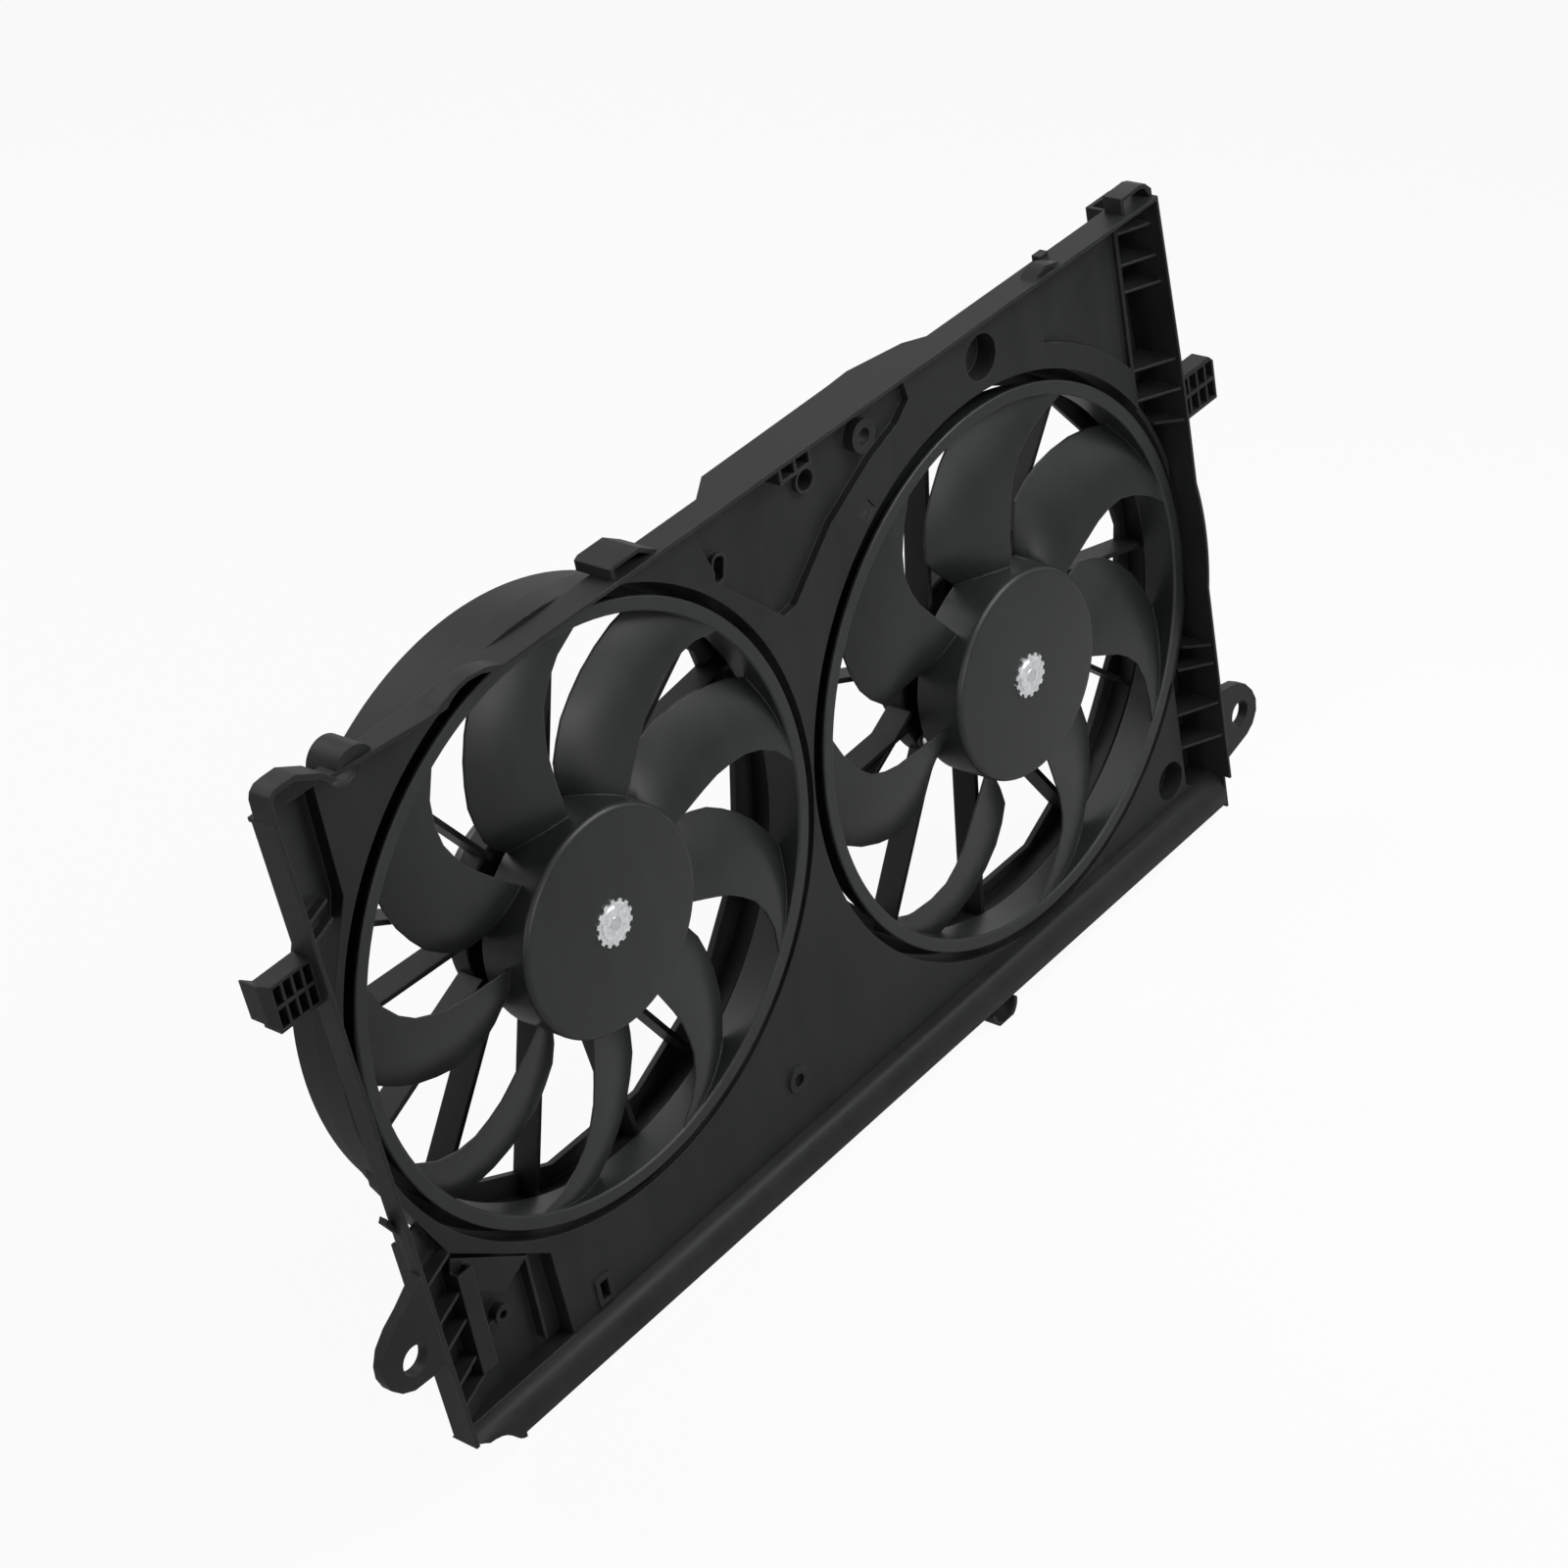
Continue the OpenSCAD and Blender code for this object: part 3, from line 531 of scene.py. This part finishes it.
def open_throats(piece):
    """Cuts both round openings: the throat's bore through the panel, and room for its wall behind."""
    return cut(piece, *[bar(r, y0, y1, x, z, 180) for r, y0, y1 in [
        (throat_r, -1, panel_back), (throat_out, panel_back - skim, 60)] for x, z in [(lx, lz), (rx, rz)]])


def rounded(x, z, half_x, half_z, r, turn):
    """A rounded oblong: four corner arcs round an inner oblong of half_x by half_z."""
    spin = math.radians(turn)
    corners = [(half_x, half_z, 0), (-half_x, half_z, 90), (-half_x, -half_z, 180), (half_x, -half_z, 270)]
    level = [(a + r * math.cos(math.radians(t + k * 15)), b + r * math.sin(math.radians(t + k * 15)))
             for a, b, t in corners for k in range(7)]
    return [(x + a * math.cos(spin) - b * math.sin(spin), z + a * math.sin(spin) + b * math.cos(spin))
            for a, b in level]


def hole_shapes(grow, y0, y1):
    """The blind holes of the panel, or the cups round them when grown by a wall."""
    return [prism(y0, y1, rounded(lx + 137, lz + 133, 1, 4, 3 + grow, -18)),
            bar(13.5 + grow, y0, y1, rx + 15, rz + 195.6), bar(12.5 + grow, y0, y1, rx + 133, rz - 158),
            bar(6 + grow, y0, y1, lx + 212, lz + 147),
            block(lx - 56 - grow, lx - 50 + grow, y0, y1, lz - 219 - grow, lz - 207 + grow)]


middle_x = (lx + rx) / 2
left_half = (-100, middle_x)
right_half = (middle_x, 900)


def half(side):
    return block(side[0], side[1], -5, 80, -200, 400)


def narrow(y0, y1):
    """The panel's outline, drawn in by a wall on both sides."""
    return keep(prism(y0, y1, front(wall)), prism(y0, y1, front(-wall)))


print("recess of", len(recess(0)), "points")

# %% Front panel
sheet = keep(prism(front_y, panel_back, front()), prism(front_y - 1, panel_back + 1, inside()))
cut(sheet, prism(front_y - 1, panel_back + 1, recess(0)),
    cut(prism(front_y - 1, panel_back + 1, field(0)), bar(throat_r + 15, 0, 40, rx, rz, 180)))
basin_back = panel_back + recess_depth
basin = join(cut(prism(front_y, basin_back, recess(0)), prism(front_y - 1, basin_back + 1, recess(wall))),
             prism(front_y + recess_depth, basin_back, recess(wall / 2)))
raised = keep(cut(prism(front_y + 3, panel_back + 3, field(-1)), bar(throat_r + 14, 0, 40, rx, rz, 180)),
              prism(front_y, 30, front()))
deep = keep(cut(prism(floor_y, floor_y + wall, inside()), narrow(floor_y - 1, floor_y + wall + 1)), half(right_half))
slope = cut(keep(prism(0, floor_y + wall, inside()), half(left_half)), narrow(-1, floor_y + wall + 1),
            block(lx - 200, lx - 20, -1, 60, lz - 92, lz + 96))
floor_line = [(wall - 1, -2), (34, 8.5), (120, 11)]
keep(slope, plate(sill_top, top_in, [(wall_l + x, front_y + y) for x, y in floor_line]
                  + [(wall_l + x, front_y + y + wall) for x, y in reversed(floor_line)], -lean_out / lean_rise))
step_l = keep(cut(prism(front_y, front_y + 11 + wall, front()), narrow(front_y - 1, 50)),
              prism(0, 60, inside()), half(left_half))
step_r = keep(cut(prism(front_y, floor_y + wall, front()), narrow(front_y - 1, 50)),
              prism(0, 60, inside()), half(right_half))
print("panel sections", [len(o.data.polygons) for o in (sheet, basin, raised, deep, slope, step_l, step_r)])

# %% Cups, bosses and the lower left pocket
cups = [keep(c, prism(0, 60, inside())) for c in hole_shapes(thin, front_y + wall / 2, front_y + 15)]
posts = [bar(9.5, front_y - 2, front_y + recess_depth + 1, lx + 259, lz + 150),
         bar(8, front_y - 1.5, front_y + 1, lx + 119, lz - 190),
         block(lx - 59, lx - 47, front_y - 1.5, front_y + 1, lz - 222, lz - 204),
         block(lx - 149, lx - 138, front_y - 6, front_y - 4.2, lz - 196, lz - 130),
         block(lx - 149, lx - 147.2, front_y - 6, front_y + 10.5, lz - 196, lz - 130),
         block(lx - 139.8, lx - 138, front_y - 6, front_y + 11, lz - 196, lz - 130),
         prism(front_y, front_y + 1.8, from_left([
             (-146, -122), (-98, -156), (-118, -166), (-137.2, -150), (-149, -132)])),
         cut(bar(5.5, front_y + 3, front_y + 12, lx - 120, lz - 181),
             bar(2.5, front_y, front_y + 14, lx - 120, lz - 181)),
         block(lx - 138.5, lx - 124.5, front_y + 4, front_y + 11, lz - 182, lz - 180.4),
         block(lx - 97, lx - 95.2, front_y + 3, front_y + 12, lz - 216, lz - 158)]
panel = join(sheet, basin, raised, deep, slope, step_l, step_r, *cups, *posts)
open_throats(panel)
cut(panel, *hole_shapes(0, -1, front_y + 13), bar(4.8, front_y - 3, front_y + 8.5, lx + 259, lz + 150),
    bar(4, front_y - 3, front_y + 1.8, lx + 119, lz - 190),
    prism(-1, panel_back + 1, [(rx + x, rz + z) for x, z in [(-97, 150), (-89, 155.5), (-94, 163), (-102, 157.5)]]),
    keep(bar(10.5, -1, panel_back + 1, lx - 130, top_z - 6), prism(-1, 60, inside())))
wear(panel, "shroud_panel", "shroud")

# %% [markdown]
# ## The walls
# The top wall carries a hollow horn at its left end, two small hooks, a two-cell clip and a ledge behind the panel. The
# left wall leans outward and has a low middle part, where the duct shows from the side. Gussets stiffen both channels.

# %% Top wall
horn_x = left_x(top_in)
horn = [(0, -wall), (0, 11), (1.5, 14.5), (5, 17), (10, 17.5), (19, 17.5), (34, 9.5), (46, -wall)]
top = join(
    prism(0, panel_back, [(horn_x, top_in), (left_x(top_z), top_z), (right_x(top_z), top_z),
                          (right_x(top_in), top_in)]),
    prism(0, 14, [(horn_x + x, top_z + z) for x, z in horn]),
    plate(top_in, top_z, [(lx + x, panel_back + y) for x, y in [
        (132, -1), (132, 0), (152, 13.5), (258, 15), (276, 16), (314, 8), (326, 0), (326, -1)]]),
    prism(0, 10, from_top([(-81, -1), (-77, 1.5), (-68, 4.5), (-57, 6), (-45, 4.5), (-37, 1.5), (-33, -1)])),
    prism(2, 12, from_top([(402, -1), (405, 2), (414, 4.5), (424, 2), (428, -1)])),
    prism(13, panel_back, from_top([(423, -1), (423, 3.5), (431, 3.5), (431, -1)])),
    prism(4, front_y, from_top([(180, -1), (180, -14), (206, -14), (206, -1)])))
cut(top,
    prism(-1, 12, [(horn_x + x, z) for x, z in [
        (wall, top_in - 1), (wall, top_z + 10.5), (4, top_z + 13), (6, top_z + 14.5), (18, top_z + 14.5),
        (32, top_z + 6.5), (41, top_in - 1)]]),
    prism(-1, 8, from_top([(-75, -3.5), (-70, 0), (-64, 2.5), (-57, 3.6), (-48, 2.5), (-42, 0), (-38, -3.5)])),
    prism(1, 10, from_top([(406, -3.5), (408, 0.5), (414, 2.4), (420, 0.5), (424, -3.5)])),
    plate(top_in - 1, top_z + 1, [(44, -1), (45, 10), (47, 9.5), (50, 7.5), (67, 5), (90, 2.5), (115, -1)]),
    *[block(lx + 182 + 12 * i, lx + 192 + 12 * i, 2, front_y - 1, top_z - 12, top_in - 1.5) for i in (0, 1)])
wear(top, "rim_top", "shroud")


# %% Left wall with its gussets
def gusset_left(h, width, y):
    x = left_in(h) - 0.5
    return plate(h, h + 1.8, [(x, y), (x + width, y + 9), (x + width, front_y + 3.5), (x + 2, front_y - 3.7),
                              (x, front_y - 3.7)])


left = cut(prism(0, panel_back - 2, [(left_x(sill_top), sill_top), (left_in(sill_top), sill_top),
                                  (left_in(top_in), top_in), (left_x(top_in), top_in)]),
           block(left_x(top_z) - 5, left_in(sill_top) + 5, 12, panel_back, lz - 88, lz + 92))
join(left, *[gusset_left(lz + h, 24, 6) for h in (112, 101)], *[gusset_left(lz + h, 26, 2) for h in (-115, -198)],
     *[gusset_left(lz + h, min(26, lx - 149.2 - left_in(lz + h)), 2) for h in (-141, -159, -184)],
     prism(7, 12, [(left_x(lz - 80) + 1, lz - 80), (left_x(lz - 76) + 1, lz - 76), (left_x(lz - 66) - 4, lz - 64),
                   (left_x(lz - 66) - 6, lz - 67)]))
wear(left, "rim_left", "shroud")


# %% Right wall with its gussets
def gusset_right(h, y):
    drop = h + thin - rz if h < rz else h - rz
    edge = rx + (math.sqrt(throat_out ** 2 - drop ** 2) if abs(drop) < throat_out else 0)
    x_in, x_out = max(edge_x, edge + 0.6), right_in(h) + 0.4
    return plate(h, h + thin, [(x_out, y), (x_out, floor_y), (x_in, floor_y), (x_in, front_y + 1)])


right = join(prism(0, floor_y + wall, [(right_inner, sill_top - 1), (right_inner, bend_z), (right_in(top_in), top_in),
                                       (right_x(top_in), top_in), (wall_r, bend_z), (wall_r, sill_top - 1)]),
             block(right_inner, wall_r, front_y - 11, floor_y + wall, bottom_z, sill_top))
open_throats(right)
swell = keep(cut(bar(throat_r + 1.8, 0, panel_back, rx, rz, 180), bar(throat_r, -1, 40, rx, rz, 180)),
             block(right_inner, wall_r + 20, -1, 40, rz - 80, rz + 80))
join(right, swell, *[gusset_right(lz + h, 2 + max(0, h - 50) * 0.045) for h in
                     (158, 138, 121, 70, 50, 29, -128, -141, -170, -194)])
wear(right, "rim_right", "shroud")

# %% [markdown]
# ## The sill
# The bottom edge is a hollow lip that stands forward of the panel. One cross section is pulled from side to side; the
# lower left corner steps up in a curve, and a half loop below the lip lets water drain.

# %% Sill
high = sill_top - bottom_z
lip_y = front_y - 11
section = [(16, high), (11, high - 2), (7, high - 5), (lip_y, high - 10), (lip_y, 3), (8, 0), (panel_back, 0),
           (panel_back, wall), (9, wall), (7.5, 4), (7.5, high - 10.5), (9, high - 6.5), (12, high - 4.4),
           (panel_back, high - wall), (panel_back, high)]
corner_x = lx - 136


def corner(inset):
    """The outline of the lower left corner: its bottom edge rises in a curve from the lip to the left wall."""
    outer_x = left_x(bottom_z)
    curve = [(0.5, 0), (-2, 0.7), (-4.5, 2.4), (-7, 5.4), (-9.5, 8.6), (-12.5, 11.4), (-16, 13.4), (-20, 14.5),
             (-24, 15)]
    return [(left_x(sill_top) + 1.6 * inset, sill_top - inset), (corner_x + 0.5, sill_top - inset),
            *[(corner_x + x, bottom_z + z + inset) for x, z in curve], (outer_x + 9 + inset, bottom_z + 17 + inset),
            (outer_x + 3 + 1.6 * inset, min(bottom_z + 20 + inset, sill_top - inset - skim))]


run = closed([[(x, y, bottom_z + z) for y, z in section] for x in (corner_x, right_inner)], True)
inner_x = left_in(sill_top)
pocket = cut(prism(lip_y + wall, panel_back + 1, corner(wall)),
             block(inner_x - 20, corner_x + 1, 0, 12, sill_top - 12, sill_top))
bend = closed([[(x, y, sill_top + z) for y, z in [(4, 1), (4, -10), (5, -10), (7, -5), (11, -2), (16, 0), (16, 1)]]
               for x in (inner_x - 30, corner_x + 0.5)], True)
sill = join(run, cut(prism(lip_y, panel_back, corner(0)), pocket, bend),
            plate(sill_top - wall, sill_top, [
                (inner_x, front_y - 1), (inner_x, panel_back - 2), (inner_x + 34, front_y + 11),
                (lx - 80, front_y + 13.5), (lx - 80, front_y - 1)]),
            block(edge_x, right_inner, front_y, floor_y + wall, sill_top - wall, sill_top),
            cut(bar(12, lip_y, front_y + 3, rx - 63, bottom_z), bar(9.5, 0, 40, rx - 63, bottom_z),
                block(rx - 80, rx - 46, 0, 40, bottom_z, bottom_z + 20)))
open_throats(sill)
wear(sill, "bottom_sill", "shroud", 50)

# %% [markdown]
# ## Brackets, ears and clips
# On top of the wall sit an arch, a low bridge and a hook. The ears are flat plates with a hole for a rubber grommet.
# The clips on the side walls have two rows of four pockets, which keep their walls as thin as the rest.

# %% Brackets on the top wall
bracket_back = front_y + 12
arch_x, arch_z, arch_r = lx - 130, top_z - 6, 13
hook_end = right_x(top_z)
hook_x = hook_end - 29
brackets = join(
    cut(bar(arch_r, 7, bracket_back, arch_x, arch_z), bar(arch_r - wall, 9, 50, arch_x, arch_z),
        block(arch_x - 14, arch_x + 14, 0, 50, arch_z - 17, top_z - 0.5)),
    cut(bar(arch_r, panel_back, bracket_back, arch_x, arch_z), bar(arch_r - wall, 0, 50, arch_x, arch_z),
        block(arch_x - 14, arch_x + 14, 0, 50, top_z + 0.5, top_z + 13)),
    cut(prism(3, bracket_back, from_top([(50, 0), (50, 6), (53, 7.5), (72, 7.5), (84, 0)])),
        prism(0, 50, from_top([(52.5, -1), (52.5, 5), (71, 5), (79, 0), (79, -1)]))),
    prism(4, front_y + 0.5, [
        (hook_x, top_z), (hook_x, top_z + 10), (hook_x + 19, top_z + 10.5), (hook_end - 5, top_z + 9),
        (hook_end, top_z + 4), (hook_end, top_z), (hook_end - wall, top_z), (hook_end - 6, top_z + 6.5),
        (hook_x + 18, top_z + 8), (hook_x + wall, top_z + 7.5), (hook_x + wall, top_z)]))
wear(brackets, "top_brackets", "shroud")

# %% Mounting ears
def ear(name, x, z, outline):
    wear(cut(prism(0, 7, outline), bar(8.5, -1, 8, x, z)), name, "shroud")


ear("ear_left", 0, 0, [(left_x(-18), -18), (left_x(43), 43), (1, 31), (-9, 25), (-17, 17.5), (-21, 9), (-21.5, 1.5),
                       (-19, -6), (-13, -12.5), (-5, -16.5)])
hole_x, hole_z = 735.0, -42.0
ear("ear_right", hole_x, hole_z, [(wall_r, hole_z + 26), *[(hole_x + x, hole_z + z) for x, z in [
    (1, 22), (9, 17), (15, 9), (18, 1), (17, -7), (12, -14), (5, -18)]], (wall_r, hole_z - 23)])


# %% Side clips
def pockets(x, z, width, height, columns=4, rows=2, floor_wall=2):
    """Square pockets in rows and columns, with thin partitions between them."""
    w, h = (width - (columns + 1) * thin) / columns, (height - (rows + 1) * floor_wall) / rows
    return [block(x + thin + i * (w + thin), x + (i + 1) * (w + thin), front_y - 12, front_y,
                  z + floor_wall + j * (h + floor_wall), z + (j + 1) * (h + floor_wall))
            for i in range(columns) for j in range(rows)]


def clip(*outlines):
    return [prism(front_y - 10, front_y + 2, outline) for outline in outlines]


low_z = lz + 71.5
high_z, tip_x = low_z + 27, left_x(low_z) - 28
left_clip = join(*clip(
    [(tip_x, low_z), (left_x(low_z), low_z), (left_x(high_z), high_z), (tip_x, high_z)],
    [(tip_x + 0.5, low_z + 2), (tip_x + 0.5, high_z), (tip_x - 6, high_z + 5), (tip_x - 7, high_z + 5),
     (tip_x - 6, low_z + 9)]))
wear(cut(left_clip, *pockets(tip_x, low_z, 28, 27)), "side_clip_left", "shroud")
low_z, tip_x = rz + 75, wall_r + 37
right_clip = clip([(wall_r, low_z), (tip_x, low_z), (tip_x, low_z + 25), (tip_x - 4, low_z + 29),
                   (wall_r, low_z + 29)])
wear(cut(*right_clip, *pockets(wall_r + 2, low_z, 35, 28)), "side_clip_right", "shroud")

# %% [markdown]
# ## Ducts and carrier arms
# Behind each opening a straight throat narrows over a short cone into the duct. The duct ends in an inward flange,
# whose inner edge has fourteen straight sides. The two ducts share a web, so each is cut off at the plane between
# the axes.
# Thin, deep arms run from the flange to the ring that holds the motor, set at the uneven angles of the real carrier.

# %% Ducts
half_way = math.hypot(rx - lx, lz - rz) / 2
slant = math.atan2(rz - lz, rx - lx)
flange, sides = 4, 14


def beyond(x, z, side):
    """Everything past the plane between the two ducts, seen from the axis at x and z."""
    along = Vector((math.cos(slant), math.sin(slant))) * side
    out = Vector((-along.y, along.x)) * 160
    near = Vector((x, z)) + along * half_way
    far = near + along * 30
    return prism(-1, 80, [tuple(p) for p in (near - out, far - out, far + out, near + out)])


def duct(x, z, side, lip):
    """One duct with a flange that reaches inward by lip."""
    profile = [(throat_r, panel_back), (throat_r, cone_start), (duct_r, cone_end), (duct_r, duct_end),
               (duct_out, duct_end), (duct_out, cone_end + 1), (throat_out, cone_start + 1), (throat_out, panel_back)]
    made = join(turned(profile, x, z), cut(bar(duct_r + 0.5, duct_end - flange, duct_end, x, z, 180),
                                           prism(0, 80, circle(duct_r - lip, x, z, sides))))
    return cut(made, beyond(x, z, side))


left_duct = duct(lx, lz, 1, 9.5)
raised_edge = keep(cut(bar(duct_out, duct_end - 0.5, duct_end + 8, lx, lz, 180), bar(duct_r, 0, 80, lx, lz, 180)),
                   prism(0, 80, [(lx, lz), (lx + 120, lz + 208), (lx - 140, lz + 208)]))
wear(join(left_duct, raised_edge), "duct_left", "shroud")
wear(duct(rx, rz, -1, 5.5), "duct_right", "shroud")

# %% Carrier arms
def arms(x, z, places, lip, ring_edge=61.0, width=3, reach=200):
    """Arms at an angle in degrees and an offset from the axis, from the motor ring out to the flange."""
    made = []
    for angle, offset in places:
        along = Vector((math.cos(math.radians(angle)), math.sin(math.radians(angle))))
        out = Vector((-along.y, along.x))
        a = Vector((x, z)) + out * (offset - width / 2)
        b = a + out * width
        made.append(prism(cone_end, duct_end, [tuple(p) for p in (a, a + along * reach, b + along * reach, b)]))
    made = join(*made)
    cut(made, bar(ring_edge, 0, 80, x, z))
    return keep(made, join(bar(duct_r, 0, duct_end - flange, x, z, 180),
                           prism(30, duct_end, circle(duct_r - lip, x, z, sides))))


wear(arms(lx, lz, [(7, 38), (35, 0), (72, 10), (125, 0), (152, 0), (177, -12), (204, -14), (232, -27), (251.5, -9),
                   (277, -3), (301, -15), (330, 10)], 9.5), "carrier_arms_left", "shroud")
wear(arms(rx, rz, [(19, 20), (50, 0), (79, 40), (128, 10), (156, 0), (182, 8), (207, -26), (236.5, -20), (261.5, -4),
                   (302, -20), (317, 24), (345, 32)], 5.5), "carrier_arms_right", "shroud")

# %% [markdown]
# ## The fans' smooth skin
# A real fan blade is one flowing surface, while a solid that is lofted from ribs comes with flat facets. Each fan gets
# a skin of its own: a copy of the solid whose doubled points are welded, shaded smooth except across real corners. The
# copy takes the solid's place in the picture, and the solid itself stays for the physics.

# %% Smooth copies of the fans
def smooth_copy(name, corner):
    solid = nodes[name]
    mesh = bpy.data.meshes.new(name + "_skin")
    bm = bmesh.new()
    bm.from_mesh(solid.data)
    bmesh.ops.remove_doubles(bm, verts=bm.verts, dist=0.00002)
    bm.to_mesh(mesh)
    bm.free()
    for old in [a.name for a in mesh.attributes if a.name in ("custom_normal", "sharp_face", "sharp_edge")]:
        mesh.attributes.remove(mesh.attributes[old])
    mesh.shade_smooth()
    mesh.set_sharp_from_angle(angle=math.radians(corner))
    skin = bpy.data.objects.new(name + "_skin", mesh)
    scene.collection.objects.link(skin)
    mesh.materials.clear()
    mesh.materials.append(finishes[slots[name]])
    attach(skin, solid["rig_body"])
    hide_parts(name)
    print(skin.name, len(mesh.vertices), "points")


for name in ("fan_left", "fan_right"):
    smooth_copy(name, 32)
